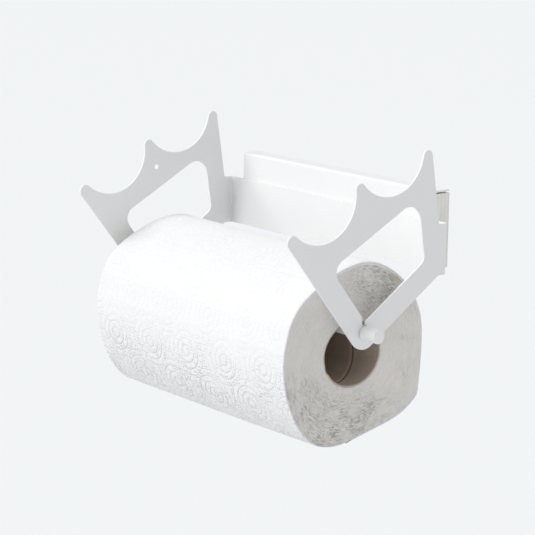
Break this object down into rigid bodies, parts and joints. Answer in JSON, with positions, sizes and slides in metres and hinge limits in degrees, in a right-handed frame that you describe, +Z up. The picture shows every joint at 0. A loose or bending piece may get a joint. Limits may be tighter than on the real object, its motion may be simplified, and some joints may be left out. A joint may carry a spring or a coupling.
{
  "type": "wall-mounted paper towel holder",
  "caption": "Folded white sheet-steel bracket on a wall panel, with scalloped side plates whose windows end in slots for a lift-out rod that carries a kitchen roll.",
  "frame": {"origin": "middle of the board's flat rear face, where it meets the wall", "axes": "+Y into the wall, +Z up, +X along the roll towards the right-hand knob seen from the room"},
  "size_m": [0.284, 0.1592, 0.2045],
  "materials": {
    "bracket_coat": "matte",
    "cover_coat": "matte",
    "rod_coat": "satin",
    "knob_coat": "satin",
    "board_wood": "matte",
    "fixing_steel": "satin",
    "grub_steel": "satin",
    "insert_brass": "satin",
    "core_board": "matte",
    "wound_paper": "matte",
    "sheet_paper": "matte"
  },
  "bodies": {
    "wall_unit": {"folded_bracket": "bracket_coat", "panel_cover": "cover_coat", "wall_board": "board_wood", "weld_studs": "fixing_steel", "insert_nuts": "insert_brass", "grub_screws": "grub_steel"},
    "rod": {"roller_rod": "rod_coat", "neck_stud_left": "fixing_steel", "neck_stud_right": "fixing_steel", "knob_left": "knob_coat", "knob_right": "knob_coat"},
    "roll": {"cardboard_core": "core_board", "paper_roll": "wound_paper", "loose_sheet": "sheet_paper"}
  },
  "joints": [
    {"name": "rod_lift", "type": "slide", "parent": "wall_unit", "child": "rod", "axis": [0, 0, 1], "range_m": [0, 0.05]},
    {"name": "roll_spin", "type": "hinge", "parent": "rod", "child": "roll", "pos_m": [0, -0.09075, -0.07855], "axis": [1, 0, 0], "continuous": true}
  ]
}
